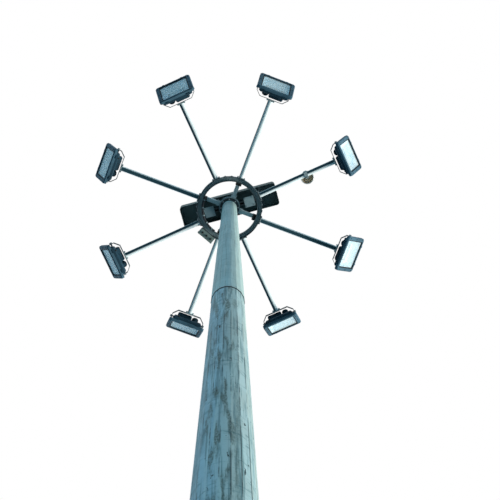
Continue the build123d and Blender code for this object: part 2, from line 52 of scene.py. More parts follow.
bpy.ops.object.select_all(action="DESELECT")

# %% [markdown]
# ## Camera
# The tower is seen by someone who stands two and a half metres from the mast and
# tips the head back. A track-to constraint would leave the roll of the view to
# chance when it points almost straight up. So the camera's three axes are worked
# out here, and they fill its matrix.

# %% Camera
LENS_MM = 82.8
SENSOR_MM = 36.0
EYE_HEIGHT = 1.6
EYE_DISTANCE = 2.53
EYE_BEARING = radians(-64.58)
LOOK_BEARING = radians(109.43)
LOOK_PITCH = radians(79.817)
LOOK_ROLL = radians(-4.88)


def toward(bearing, height):
    """The unit vector at a bearing from +X and a height over the horizon."""
    return Vector((cos(bearing) * cos(height), sin(bearing) * cos(height), sin(height)))


look = toward(LOOK_BEARING, LOOK_PITCH)
level_right = Vector((sin(LOOK_BEARING), -cos(LOOK_BEARING), 0))
level_up = level_right.cross(look)
image_right = cos(LOOK_ROLL) * level_right + sin(LOOK_ROLL) * level_up
image_up = cos(LOOK_ROLL) * level_up - sin(LOOK_ROLL) * level_right
camera_data = bpy.data.cameras.new("camera")
camera_data.lens = LENS_MM
camera_data.sensor_width = SENSOR_MM
camera_data.clip_end = 200
camera = bpy.data.objects.new("camera", camera_data)
scene.collection.objects.link(camera)
turn = Matrix((image_right, image_up, -look)).transposed().to_4x4()
eye = Vector((EYE_DISTANCE * cos(EYE_BEARING), EYE_DISTANCE * sin(EYE_BEARING), EYE_HEIGHT))
camera.matrix_world = Matrix.Translation(eye) @ turn
scene.camera = camera
print("camera at", [round(v, 3) for v in eye])

# %% [markdown]
# ## Light
# The tower stands in open shade under a pale sky, with a strong glow to one side. A
# few area lamps would give hard falloff over twenty metres, so the sky itself is
# the soft light: bright and bluish above, a dim blue below. That blue makes every
# finish look bluer than its own colour. The glow is a wide sun lamp from under the
# horizon, as if off pale ground, so the floor throws no shadow in it. Where the
# camera, a reflection or a pane of glass looks at the sky directly, it is plain
# white. The colour the camera sees on the floor takes the blue back out, so that
# the floor looks a pale grey.

# %% Node helpers
def node(tree, kind, **settings):
    """Add a shader node and set its properties."""
    made = tree.nodes.new("ShaderNode" + kind)
    for name, value in settings.items():
        setattr(made, name, value)
    return made


def feed(socket, value):
    """Give a socket a plain value, or a link from another socket."""
    if isinstance(value, bpy.types.NodeSocket):
        socket.id_data.links.new(value, socket)
    else:
        socket.default_value = value


def tree_of(*values):
    """The node tree of the first socket among some values."""
    return next(value.id_data for value in values if isinstance(value, bpy.types.NodeSocket))


def wire(made, **values):
    """Feed a node's inputs by name, with _ for each space in the name."""
    for name, value in values.items():
        feed(made.inputs[name.replace("_", " ")], value)


def maths(operation, *values, clamp=False):
    made = node(tree_of(*values), "Math", operation=operation, use_clamp=clamp)
    for socket, value in zip(made.inputs, values):
        feed(socket, value)
    return made.outputs[0]


def times(one, other):
    return maths("MULTIPLY", one, other)


def parts_of(vector):
    """The x, y and z of a vector."""
    apart = node(vector.id_data, "SeparateXYZ")
    feed(apart.inputs[0], vector)
    return apart.outputs


def ramp(value, low, high):
    """0 below low, 1 above high, and a smooth rise between."""
    made = node(value.id_data, "MapRange", interpolation_type="SMOOTHSTEP")
    wire(made, Value=value, From_Min=low, From_Max=high)
    return made.outputs["Result"]


def mix(mask, low, high):
    made = node(tree_of(mask, low, high), "Mix", data_type="RGBA", blend_type="MIX")
    feed(made.inputs[0], mask)
    feed(made.inputs[6], low)
    feed(made.inputs[7], high)
    return made.outputs[2]


def noise(vector, scale, detail=4.0, rough=0.55, warp=0.0):
    made = node(vector.id_data, "TexNoise")
    wire(made, Vector=vector, Scale=scale, Detail=detail, Roughness=rough, Distortion=warp)
    return made.outputs["Fac"]


# %% Sky and sun
SKY_ABOVE = (0.68, 0.96, 1.10, 1)
SKY_BELOW = (0.010, 0.080, 0.120, 1)
SKY_STRENGTH = 1.1
SUN_BEARING = radians(40)
SUN_HEIGHT = radians(-15)
SUN_SPREAD = radians(30)
SUN_ENERGY = 4.7
SUN_COLOUR = (1.0, 0.95, 0.87)
FLOOR_BOUNCE = (0.80, 0.80, 0.80, 1)
FLOOR_SEEN = (1.00, 0.76, 0.67, 1)
FLOOR_RADIUS = 6
FLOOR_Z = -0.002

world = bpy.data.worlds.new("sky")
scene.world = world
world.use_nodes = True
sky = world.node_tree
sky.nodes.clear()
height = parts_of(node(sky, "TexCoord").outputs["Generated"])["Z"]
shade = mix(ramp(height, -0.10, 0.35), SKY_BELOW, SKY_ABOVE)
path = node(sky, "LightPath").outputs
seen = maths("MAXIMUM", path["Is Camera Ray"], path["Is Glossy Ray"])
seen = maths("MAXIMUM", seen, path["Is Transmission Ray"])
soft = node(sky, "Background")
wire(soft, Color=shade, Strength=SKY_STRENGTH)
white = node(sky, "Background")
wire(white, Color=(1, 1, 1, 1), Strength=1.0)
choose = node(sky, "MixShader")
feed(choose.inputs[0], seen)
feed(choose.inputs[1], soft.outputs[0])
feed(choose.inputs[2], white.outputs[0])
wire(node(sky, "OutputWorld"), Surface=choose.outputs[0])

sun_data = bpy.data.lights.new("sun", "SUN")
sun_data.energy = SUN_ENERGY
sun_data.color = SUN_COLOUR
sun_data.angle = SUN_SPREAD
sun = bpy.data.objects.new("sun", sun_data)
sun.rotation_euler = toward(SUN_BEARING, SUN_HEIGHT).to_track_quat("Z", "Y").to_euler()
scene.collection.objects.link(sun)

bpy.ops.mesh.primitive_circle_add(vertices=96, radius=FLOOR_RADIUS, fill_type="NGON", location=(0, 0, FLOOR_Z))
floor = bpy.context.active_object
floor.name = "floor"
floor.visible_shadow = False
floor_paint = bpy.data.materials.new("floor_paint")
floor_paint.use_nodes = True
tree = floor_paint.node_tree
under = node(tree, "NewGeometry").outputs["Backfacing"]
seen = maths("SUBTRACT", node(tree, "LightPath").outputs["Is Camera Ray"], under, clamp=True)
floor_shader = next(n for n in tree.nodes if n.type == "BSDF_PRINCIPLED")
wire(floor_shader, Base_Color=mix(seen, FLOOR_BOUNCE, FLOOR_SEEN), Specular_IOR_Level=0.0)
floor.data.materials.append(floor_paint)
scene.view_settings.view_transform = "Standard"

# %% [markdown]
# ## Shared effects
# Steel that stands outdoors for years shows the same few things everywhere: cloudy
# zinc, grime in patches, dark runs under joints, knocks, and dust on top. Each
# effect is a node group that gives out only a mask or a height, so that every
# finish can tint it and set how strong it is. They all read the piece's own
# coordinates, so a pattern stays put when a lamp tilts or the carriage comes down.

# %% A blank effect group
def effect(name, outputs, **inputs):
    """A shader node group with number inputs, and its input and output sockets."""
    tree = bpy.data.node_groups.new(name, "ShaderNodeTree")
    tree.interface.new_socket("Vector", in_out="INPUT", socket_type="NodeSocketVector")
    for label, default in inputs.items():
        socket = tree.interface.new_socket(label, in_out="INPUT", socket_type="NodeSocketFloat")
        socket.default_value = default
    for label in outputs:
        tree.interface.new_socket(label, in_out="OUTPUT", socket_type="NodeSocketFloat")
    return tree, tree.nodes.new("NodeGroupInput").outputs, tree.nodes.new("NodeGroupOutput").inputs


def stretched(vector, along, up):
    """Scale the plan by one number and the height by another."""
    x, y, z = parts_of(vector)
    together = node(vector.id_data, "CombineXYZ")
    wire(together, X=times(x, along), Y=times(y, along), Z=times(z, up))
    return together.outputs[0]


def bearing_of(vector):
    """The angle of a point round the mast, from +X."""
    x, y, z = parts_of(vector)
    return maths("ARCTAN2", y, x)


# %% Cloudy tone, with zinc crystals
spangle, given, result = effect("zinc_spangle", ["Tone", "Crystal"], Scale=30.0)
cells = node(spangle, "TexVoronoi")
wire(cells, Vector=given["Vector"], Scale=given["Scale"])
crystal = node(spangle, "SeparateColor")
feed(crystal.inputs[0], cells.outputs["Color"])
clouds = noise(given["Vector"], times(given["Scale"], 0.09), 5.0)
feed(result["Tone"], ramp(clouds, 0.32, 0.68))
feed(result["Crystal"], crystal.outputs[0])

# %% Grime in patches
grime, given, result = effect("grime", ["Mask"], Scale=3.0, Cover=0.4)
coarse = noise(given["Vector"], given["Scale"], 6.0, 0.62, 0.4)
fine = noise(given["Vector"], times(given["Scale"], 9.0), 5.0, 0.65)
level = maths("SUBTRACT", 0.92, times(given["Cover"], 0.6))
both = maths("ADD", times(coarse, 0.7), times(fine, 0.5))
feed(result["Mask"], ramp(both, level, maths("ADD", level, 0.16)))

# %% Dark runs down a wall
runs, given, result = effect("runs", ["Mask"], Width=26.0, Length=0.5, Cover=0.4)
lines = noise(stretched(given["Vector"], given["Width"], given["Length"]), 1.0, 3.0, 0.5)
breaks = noise(stretched(given["Vector"], 4.0, 1.4), 1.0, 4.0, 0.6)
level = maths("SUBTRACT", 0.78, times(given["Cover"], 0.35))
drip = ramp(lines, level, maths("ADD", level, 0.10))
feed(result["Mask"], times(drip, ramp(breaks, 0.40, 0.62)))

# %% Knocks and scuffs
knocks, given, result = effect("knocks", ["Mask"], Scale=20.0, Cover=0.4)
drawn = stretched(given["Vector"], given["Scale"], times(given["Scale"], 0.45))
small = noise(drawn, 1.0, 5.0, 0.7, 1.2)
where = noise(given["Vector"], times(given["Scale"], 0.12), 3.0)
level = maths("SUBTRACT", 0.80, times(given["Cover"], 0.28))
sharp = ramp(small, level, maths("ADD", level, 0.05))
feed(result["Mask"], times(sharp, ramp(where, 0.46, 0.60)))

# %% Dirt along the arrises of a many-sided mast
arrises, given, result = effect("arris_lines", ["Mask"], Sides=18.0, Phase=0.0, Width=0.06)
turned = maths("SUBTRACT", bearing_of(given["Vector"]), given["Phase"])
facet = times(turned, maths("DIVIDE", given["Sides"], 2 * pi))
within = maths("FRACT", maths("ADD", facet, 0.5))
from_arris = maths("ABSOLUTE", maths("SUBTRACT", within, 0.5))
line = maths("SUBTRACT", 1.0, ramp(from_arris, 0.0, given["Width"]))
wander = noise(stretched(given["Vector"], 3.0, 1.1), 1.0, 5.0, 0.7)
feed(result["Mask"], times(line, ramp(wander, 0.43, 0.55)))

# %% Dust on upward faces
dust, given, result = effect("settled_dust", ["Mask"], Amount=0.5)
facing_up = parts_of(node(dust, "NewGeometry").outputs["Normal"])["Z"]
patchy = ramp(noise(given["Vector"], 14.0, 5.0, 0.6), 0.30, 0.70)
upward = ramp(facing_up, 0.35, 0.95)
feed(result["Mask"], times(times(upward, patchy), given["Amount"]))

# %% The skin of paint, castings and rubber
skin, given, result = effect("skin", ["Height", "Tone"], Scale=300.0)
feed(result["Height"], noise(given["Vector"], given["Scale"], 3.0, 0.5))
feed(result["Tone"], noise(given["Vector"], times(given["Scale"], 0.05), 4.0, 0.6))
print("effects", [group.name for group in bpy.data.node_groups])

# %% [markdown]
# ## Finishes
# One function builds every opaque finish from the shared effects: two tones of the
# base, grime, runs, knocks and dust. A separate tree for each would repeat the
# same thirty nodes a dozen times. Colours are linear values. The sky mirrors as
# plain white, so metals stay mostly diffuse and rather rough.

# %% Opaque finishes
DUST_COLOUR = (0.33, 0.34, 0.31, 1)
finishes = {}


def group(effect_tree, vector, **inputs):
    """Use a shared effect in a material, and return its outputs by name."""
    made = node(vector.id_data, "Group", node_tree=effect_tree)
    wire(made, Vector=vector, **inputs)
    return made.outputs


def blank(name):
    """Start a finish: its Principled shader and the object's own coordinates."""
    finishes[name] = bpy.data.materials.new(name)
    finishes[name].use_nodes = True
    tree = finishes[name].node_tree
    shader = next(n for n in tree.nodes if n.type == "BSDF_PRINCIPLED")
    return shader, node(tree, "TexCoord").outputs["Object"]


def tinted(colour, factor):
    return tuple(min(1.0, c * factor) for c in colour[:3]) + (1,)


def bumped(height, strength, distance):
    """The normal that a height gives."""
    bump = node(height.id_data, "Bump")
    wire(bump, Height=height, Strength=strength, Distance=distance)
    return bump.outputs["Normal"]


def finish(name, colour, spread=0.2, metallic=0.0, rough=(0.5, 0.7), gloss=0.3, dirt=None, cover=0.3,
           scale=5.0, run=0.0, knock=0.0, knock_scale=26.0, dusty=0.35, grain=400.0, relief=0.0006,
           crystals=0.0, extra=None):
    """A weathered opaque finish. extra may change the colour by adding its own nodes."""
    shader, here = blank(name)
    dirt = dirt or tinted(colour, 0.35)
    cloud = group(spangle, here, Scale=34.0)
    surface = group(skin, here, Scale=grain)
    paint = mix(cloud["Tone"], tinted(colour, 1 - spread), tinted(colour, 1 + spread))
    paint = mix(times(cloud["Crystal"], crystals), paint, tinted(colour, 1.35))
    if extra:
        paint = extra(here, paint)
    marks = group(grime, here, Scale=scale, Cover=cover)["Mask"]
    paint = mix(times(marks, 0.8), paint, dirt)
    if run:
        drips = group(runs, here, Cover=run)["Mask"]
        paint = mix(times(drips, 0.7), paint, dirt)
    if knock:
        chips = group(knocks, here, Scale=knock_scale, Cover=knock)["Mask"]
        paint = mix(chips, paint, tinted(dirt, 0.7))
    settled = group(dust, here, Amount=dusty)["Mask"]
    paint = mix(settled, paint, DUST_COLOUR)
    dull = times(maths("MAXIMUM", marks, settled), 0.15)
    base_rough = maths("ADD", rough[0], times(surface["Tone"], rough[1] - rough[0]))
    relief_height = maths("ADD", surface["Height"], times(marks, 0.6))
    wire(shader, Base_Color=paint, Roughness=maths("ADD", base_rough, dull, clamp=True),
         Metallic=metallic, Specular_IOR_Level=gloss, Normal=bumped(relief_height, 0.5, relief))


# %% [markdown]
# The mast's lower section has had the hardest life. Dirt clings in broken lines
# along its arrises, a few facets are scuffed where ladders and slings rubbed, pale
# and dark streaks run down it, and small ripples cross the zinc. One side has a
# painted highlight in pale streaks, and the sides toward the sun are painted paler
# as painted light. The far side is made paler and less blue. The upper section is
# cleaner. These pale sides are painted on by their bearing round the mast, so they
# stay where they are under any light.

# %% What is special to the mast
MAST_SIDES = 18
ARRIS_BEARING = -54.6
ARRIS_PHASE = radians(ARRIS_BEARING)
SCUFF_BEARING = radians(-78)
# A narrow painted highlight, drawn as pale streaks, lies on the lower section at this bearing.
HIGHLIGHT_BEARING = radians(12)
# The lower and upper sections are painted paler as painted light on the sides toward the sun. The far side is made
# paler and less blue.
LIT_SIDE_LOWER = radians(-34)
LIT_SIDE_UPPER = radians(-12)
PALE_BACK = radians(112)
SMUDGE = (0.036, 0.080, 0.070, 1)
LINE_DARK = (0.008, 0.036, 0.044, 1)
STREAK_DARK = (0.040, 0.135, 0.160, 1)
STREAK_PALE = (0.360, 0.540, 0.560, 1)
# The colour of the painted highlight.
HIGHLIGHT_PALE = (0.480, 0.580, 0.520, 1)
# The tone of the paler sides.
SIDE_PALE = (0.560, 0.620, 0.520, 1)


def near_bearing(here, bearing, full, none):
    """1 on the walls that face a bearing, falling to 0 on either side."""
    off = maths("ABSOLUTE", maths("SUBTRACT", bearing_of(here), bearing))
    return maths("SUBTRACT", 1.0, ramp(off, full, none))


# Used for painted light on the sides toward the sun, and for the paler far side.
def paler_side(here, paint, bearing, strength, reach=1.0):
    """The side that faces a bearing is paler and less blue."""
    side = near_bearing(here, bearing, 0.35, reach)
    return mix(times(side, strength), paint, SIDE_PALE)


def facet_tones(here, paint, strength):
    """Every facet takes its own slight tone."""
    turned = maths("SUBTRACT", bearing_of(here), ARRIS_PHASE)
    random = node(here.id_data, "TexWhiteNoise", noise_dimensions="1D")
    wire(random, W=maths("FLOOR", times(turned, MAST_SIDES / (2 * pi))))
    return mix(times(random.outputs["Value"], strength), paint, STREAK_DARK)


def grain_of(here, across, along, low, high, detail=4.0, rough=0.6, warp=0.0):
    """A mask of marks, long down the wall where across is the larger scale."""
    return ramp(noise(stretched(here, across, along), 1.0, detail, rough, warp), low, high)


def streaks(here, paint, across, along, low, strength, colour, where=1.0):
    """Thin marks of one colour."""
    lines = grain_of(here, across, along, low, low + 0.12, 5.0)
    return mix(times(times(lines, strength), where), paint, colour)


def lower_marks_and_light(here, paint):
    paint = facet_tones(here, paint, 0.50)
    # Painted light: the side toward the sun is paler.
    paint = paler_side(here, paint, LIT_SIDE_LOWER, 0.40)
    paint = paler_side(here, paint, PALE_BACK, 0.42, 1.18)
    paint = streaks(here, paint, 26.0, 0.7, 0.50, 0.40, STREAK_PALE)
    paint = streaks(here, paint, 42.0, 1.1, 0.50, 0.60, STREAK_DARK)
    scuffed = near_bearing(here, SCUFF_BEARING, 0.30, 1.10)
    speckled = grain_of(here, 75.0, 26.0, 0.40, 0.56, rough=0.7)
    speckled = times(scuffed, maths("ADD", 0.5, times(speckled, 0.5)))
    paint = streaks(here, paint, 17.0, 1.7, 0.50, 0.85, SMUDGE, speckled)
    patches = ramp(noise(here, 2.4, 3.0), 0.42, 0.58)
    paint = streaks(here, paint, 9.0, 30.0, 0.54, 0.55, STREAK_DARK, patches)
    # A painted highlight, drawn as pale streaks on one narrow side.
    highlight = near_bearing(here, HIGHLIGHT_BEARING, 0.10, 0.26)
    paint = streaks(here, paint, 30.0, 0.9, 0.40, 0.75, HIGHLIGHT_PALE, highlight)
    chip = grain_of(here, 38.0, 9.0, 0.665, 0.695, warp=0.5)
    paint = mix(chip, paint, LINE_DARK)
    broken = group(arrises, here, Phase=ARRIS_PHASE, Width=0.10)["Mask"]
    return mix(broken, paint, LINE_DARK)


def upper_marks_and_light(here, paint):
    paint = facet_tones(here, paint, 0.22)
    # Painted light: the side toward the sun is paler.
    paint = paler_side(here, paint, LIT_SIDE_UPPER, 0.44)
    paint = paler_side(here, paint, PALE_BACK, 0.42, 1.18)
    paint = streaks(here, paint, 22.0, 0.5, 0.48, 0.35, STREAK_PALE)
    paint = streaks(here, paint, 34.0, 0.8, 0.54, 0.40, STREAK_DARK)
    ripple = grain_of(here, 5.0, 9.0, 0.52, 0.66, warp=0.6)
    paint = mix(times(ripple, 0.18), paint, STREAK_DARK)
    edge = group(arrises, here, Phase=ARRIS_PHASE, Width=0.08)["Mask"]
    return mix(times(edge, 0.5), paint, LINE_DARK)


# %% [markdown]
# The ring is a channel that opens downward. The inside of the channel is painted
# pale as painted light on its web, and the edges of its two flanges keep the ring's
# dark colour.

# %% What is special to the ring
# The pale of the painted light inside the channel.
RING_PAINTED_LIGHT = (0.28, 0.37, 0.39, 1)
PALE_FROM, PALE_TO = 0.080, 0.020  # under the ring's top


# Painted light: the web inside the channel is painted paler than the flange edges.
def ring_painted_light(here, paint):
    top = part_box("carriage_ring")[1].z
    inside = ramp(parts_of(here)["Z"], top - PALE_FROM, top - PALE_TO)
    return mix(inside, paint, RING_PAINTED_LIGHT)


# %% [markdown]
# The arms are painted by the way their walls face. The side toward the sun and the
# top are painted pale as painted light, and the underside and far side are painted
# dark as painted shade. The two arms that lie straight across the sun's bearing are
# painted pale underneath as painted light, and their sides that face away from it
# are brown.

# %% What is special to the arms
# The arms' painted light comes from this bearing. The dark colour below it is their painted shade, and the brown is
# for sides that face away.
LIGHT_BEARING = radians(45)
ARM_SHADE = (0.030, 0.085, 0.110, 1)
LIT_FROM_ABOVE = 0.9
BROWN_SIDE = (0.120, 0.105, 0.100, 1)


def facing_along(here, way):
    """How squarely a wall faces a direction."""
    made = node(here.id_data, "VectorMath", operation="DOT_PRODUCT")
    feed(made.inputs[0], node(here.id_data, "NewGeometry").outputs["Normal"])
    feed(made.inputs[1], way)
    return made.outputs["Value"]


# Painted light and shade: walls that face the light bearing or face up stay pale, and the rest are painted dark.
def arm_light_and_shade(here, paint):
    toward_light = (cos(LIGHT_BEARING), sin(LIGHT_BEARING))
    lit_side = facing_along(here, (toward_light[0], toward_light[1], LIT_FROM_ABOVE))
    off_light = maths("SUBTRACT", bearing_of(here), LIGHT_BEARING)
    across = maths("ABSOLUTE", maths("SINE", off_light))
    reach = maths("MULTIPLY_ADD", times(across, across), 0.55, LIT_FROM_ABOVE)
    reach = maths("ADD", lit_side, reach)
    shaded = mix(ramp(reach, 0.12, 0.42), ARM_SHADE, paint)
    away_side = facing_along(here, (-toward_light[0], -toward_light[1], 0))
    lit_across = mix(ramp(away_side, 0.62, 0.85), paint, BROWN_SIDE)
    return mix(ramp(across, 0.90, 0.97), shaded, lit_across)


# %% Finishes by slot
ZINC = (0.235, 0.415, 0.500)
finish("mast_lower", ZINC, 0.14, rough=(0.45, 0.6), gloss=0.04, scale=2.6, run=0.42, knock=0.55,
       knock_scale=34.0, crystals=0.12, relief=0.0009, grain=120.0, extra=lower_marks_and_light)
finish("mast_upper", (0.200, 0.395, 0.440), 0.10, rough=(0.40, 0.52), gloss=0.04, cover=0.12, scale=2.2,
       run=0.25, knock=0.15, knock_scale=30.0, crystals=0.12, extra=upper_marks_and_light)
finish("galvanised", (0.30, 0.385, 0.405), 0.18, gloss=0.12, scale=7.0, run=0.25, knock=0.3, crystals=0.25)
finish("arm_zinc", (0.74, 0.84, 0.86), 0.08, rough=(0.5, 0.65), gloss=0.1, dirt=(0.16, 0.20, 0.20, 1),
       cover=0.15, scale=9.0, knock=0.3, knock_scale=30.0, crystals=0.2, extra=arm_light_and_shade)
finish("spoke_zinc", (0.46, 0.54, 0.56), 0.14, gloss=0.08, cover=0.28, scale=8.0, crystals=0.2)
finish("head_steel", (0.26, 0.36, 0.39), 0.14, gloss=0.10, cover=0.28, scale=8.0, crystals=0.2)
finish("dark_steel", (0.020, 0.042, 0.052), 0.25, knock=0.3)
finish("ring_steel", (0.044, 0.068, 0.080), 0.22, gloss=0.2, scale=10.0, knock=0.3, extra=ring_painted_light)
finish("guide_rubber", (0.022, 0.028, 0.030), 0.3, rough=(0.7, 0.9), gloss=0.2, grain=900.0)
finish("sheave_iron", (0.11, 0.115, 0.115), 0.25, metallic=0.2, dirt=(0.035, 0.028, 0.02, 1), cover=0.5,
       scale=18.0, grain=700.0)
finish("bright_steel", (0.42, 0.45, 0.46), 0.12, metallic=0.4, rough=(0.3, 0.5), scale=22.0)
finish("hood_paint", (0.046, 0.092, 0.098), 0.3, rough=(0.55, 0.75), cover=0.35, scale=4.0, run=0.25, knock=0.3)
finish("box_paint", (0.190, 0.260, 0.240), 0.15, rough=(0.45, 0.65), scale=9.0, run=0.25, knock=0.3)
finish("cable_sheath", (0.020, 0.026, 0.032), 0.3, rough=(0.55, 0.75), grain=1200.0, scale=14.0)
finish("spot_enamel", (0.50, 0.51, 0.46), 0.08, rough=(0.35, 0.5), scale=14.0, dirt=(0.13, 0.10, 0.06, 1))
finish("lamp_body", (0.016, 0.045, 0.068), 0.25, rough=(0.5, 0.65), gloss=0.05, cover=0.25, scale=11.0,
       knock=0.15, grain=900.0)
finish("lamp_frame", (0.058, 0.125, 0.172), 0.22, rough=(0.5, 0.62), gloss=0.06, cover=0.22, scale=12.0,
       knock=0.15, grain=900.0)
finish("weld", (0.20, 0.28, 0.30), 0.3, metallic=0.2, rough=(0.45, 0.7), cover=0.4, scale=40.0, relief=0.001)
finish("fastener", (0.20, 0.26, 0.28), 0.2, metallic=0.2, rough=(0.4, 0.6), scale=60.0,
       dirt=(0.07, 0.055, 0.04, 1))
finish("quartz", (0.40, 0.52, 0.58), 0.12, rough=(0.2, 0.35), cover=0.2, scale=30.0,
       dirt=(0.20, 0.25, 0.27, 1), dusty=0.1)
finish("ceramic", (0.34, 0.42, 0.45), 0.08, rough=(0.45, 0.6), scale=30.0, dusty=0.1)
# This near-black is used for the lamps' gaskets and for the painted shade band under the sleeve rim.
finish("sealant", (0.012, 0.020, 0.024), 0.3, rough=(0.6, 0.8), gloss=0.2, grain=700.0)
# The collar is galvanised steel. Its near-black colour is painted shade.
finish("collar_painted_shade", (0.014, 0.028, 0.036), 0.3, rough=(0.55, 0.75), gloss=0.2)
print("opaque finishes", len(finishes))

# %% [markdown]
# ## Ropes, glass and reflectors
# Wire rope is dark grease between bright strands. Panes let light through by alpha,
# because a refracting pane would stop the sun from reaching the reflector behind.
# The reflectors are hammered aluminium that has dulled to a blue grey, with upright
# flutes that show as faint bands, and the spot has a golden bowl.

# %% Wire rope, glass and reflectors
def rope_finish(name):
    shader, here = blank(name)
    fine = group(skin, here, Scale=1500.0)
    marks = group(grime, here, Scale=20.0, Cover=0.5)["Mask"]
    steel = mix(fine["Height"], (0.10, 0.12, 0.12, 1), (0.26, 0.29, 0.29, 1))
    wire(shader, Base_Color=mix(marks, steel, (0.045, 0.040, 0.030, 1)), Metallic=0.4,
         Roughness=maths("ADD", 0.42, times(fine["Tone"], 0.25)),
         Normal=bumped(fine["Height"], 0.4, 0.0004))


def pane(name, colour, clear, dusty):
    """A pane whose dust is more solid than the glass between."""
    shader, here = blank(name)
    film = group(grime, here, Scale=7.0, Cover=0.75)["Mask"]
    wash = group(skin, here, Scale=90.0)["Tone"]
    soiled = times(maths("ADD", film, wash), dusty)
    wire(shader, Base_Color=mix(film, colour, tinted(colour, 1.25)),
         Alpha=maths("ADD", clear, soiled, clamp=True),
         Roughness=maths("ADD", 0.10, times(film, 0.25)),
         Metallic=0.0, Transmission_Weight=0.0, Specular_IOR_Level=0.15)


def mirror_finish(name, low, high, dimples, flute, rough):
    shader, here = blank(name)
    dents = node(here.id_data, "TexVoronoi")
    wire(dents, Vector=here, Scale=dimples)
    bands = node(here.id_data, "TexWave", wave_type="BANDS", bands_direction="X")
    wire(bands, Vector=here, Scale=flute, Distortion=1.5)
    tone = group(skin, here, Scale=60.0)["Tone"]
    light = maths("ADD", times(bands.outputs["Fac"], 0.5), times(tone, 0.5))
    paint = mix(ramp(light, 0.2, 0.8), low, high)
    marks = group(grime, here, Scale=9.0, Cover=0.2)["Mask"]
    wire(shader, Base_Color=mix(times(marks, 0.25), paint, tinted(low, 0.6)),
         Roughness=maths("ADD", rough, times(tone, 0.2)), Metallic=0.42,
         Specular_IOR_Level=0.3, Normal=bumped(dents.outputs["Distance"], 0.3, 0.001))


rope_finish("wire_rope")
pane("lamp_glass", (0.72, 0.91, 1.0, 1), 0.20, 0.09)
pane("clear_glass", (0.48, 0.46, 0.38, 1), 0.05, 0.06)
mirror_finish("reflector", (0.42, 0.72, 0.90, 1), (0.70, 0.92, 1.00, 1), 90.0, 14.0, 0.35)
mirror_finish("gold_reflector", (0.16, 0.090, 0.030, 1), (0.90, 0.70, 0.38, 1), 60.0, 12.0, 0.3)

# %% Put them on the CAD nodes
OWN_FINISH = {
    "lower_section": "mast_lower", "upper_section": "mast_upper", "arm_tubes": "arm_zinc",
    "mast_collar": "collar_painted_shade", "stirrups": "dark_steel", "head_spokes": "spoke_zinc",
}
for name, part in nodes.items():
    for slot in part.material_slots:
        slot_name = slot.material.name.split(".")[0]
        slot.material = finishes[OWN_FINISH.get(name, slot_name)]
print("finishes on", len(nodes), "CAD nodes")

# %% [markdown]
# ## Ways to make small pieces
# Bolts, welds and plates are each modelled once at the origin from a primitive that
# is cut, inset or bevelled in edit mode. Copies with their own mesh are then set in
# place and joined. Instances or arrays would be lighter, but a joined mesh keeps
# each bolt exactly on its hole and moves with its body as one piece.

# %% Modelling helpers
def everything():
    bpy.ops.mesh.select_all(action="SELECT")


def begin(kind, name, **size):
    """Add a primitive, put its place into the mesh and open it for editing."""
    getattr(bpy.ops.mesh, f"primitive_{kind}_add")(**size)
    made = bpy.context.active_object
    made.name = made.data.name = name
    bpy.ops.object.transform_apply(location=True, rotation=True, scale=True)
    bpy.ops.object.mode_set(mode="EDIT")
    everything()
    return made


def pick(made, test):
    """Select only the faces whose middle and normal pass the test."""
    mesh = bmesh.from_edit_mesh(made.data)
    bpy.ops.mesh.select_mode(type="FACE")
    for face in mesh.faces:
        face.select_set(bool(test(face.calc_center_median(), face.normal)))
    mesh.select_flush_mode()
    bmesh.update_edit_mesh(made.data)


def resize(x, y, z):
    bpy.ops.transform.resize(value=(x, y, z))


def move(x, y, z):
    bpy.ops.transform.translate(value=(x, y, z))


def done(made, coat, smooth=35):
    """Close the edit and give the piece its finish."""
    everything()
    bpy.ops.mesh.normals_make_consistent(inside=False)
    bpy.ops.object.mode_set(mode="OBJECT")
    bpy.ops.object.transform_apply(location=True, rotation=True, scale=True)
    made.data.materials.clear()
    made.data.materials.append(finishes[coat])
    bpy.ops.object.shade_smooth_by_angle(angle=radians(smooth))
    made.select_set(False)
    return made


def join(pieces, name):
    bpy.ops.object.select_all(action="DESELECT")
    for piece in pieces:
        piece.select_set(True)
    bpy.context.view_layer.objects.active = pieces[0]
    if len(pieces) > 1:
        bpy.ops.object.join()
    whole = bpy.context.active_object
    whole.name = whole.data.name = name
    whole.select_set(False)
    return whole


def repeat(master, places, name, body="mast", keep=False):
    """Join a copy of the master at every place into one piece. keep spares the master."""
    copies = []
    for place in places:
        copy = master.copy()
        copy.data = master.data.copy()
        copy.data.transform(place)
        scene.collection.objects.link(copy)
        copies.append(copy)
    whole = join(copies, name)
    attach(whole, body)
    if not keep:
        bpy.data.objects.remove(master)


# %% Places
outward = Matrix.Rotation(pi / 2, 4, "Y")
downward = Matrix.Rotation(pi, 4, "X")


def shift(x, y, z):
    return Matrix.Translation((x, y, z))


def polar(bearing, radius, z):
    """Local x points outward along the bearing, and local z stays up."""
    return Matrix.Rotation(radians(bearing), 4, "Z") @ shift(radius, 0, z)


def on_wall(bearing, radius, z, side=0, rise=0):
    """Local z points outward from a wall, at a step to the side and up."""
    return polar(bearing, radius, z) @ shift(0, side, rise) @ outward


def facing(point, normal):
    """Local z points along the normal."""
    return Matrix.Translation(point) @ Vector(normal).to_track_quat("Z", "Y").to_matrix().to_4x4()


def middle(name):
    low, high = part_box(name)
    return (low + high) / 2


def reach_of(name, bearing):
    """How far a piece reaches along a bearing."""
    turned = polar(bearing, 0, 0).inverted() @ nodes[name].matrix_world
    return max((turned @ v.co).x for v in nodes[name].data.vertices)


# %% Stock parts: bolt, weld ring, weld run and plate
def top_face(centre, normal):
    return normal.z > 0.9


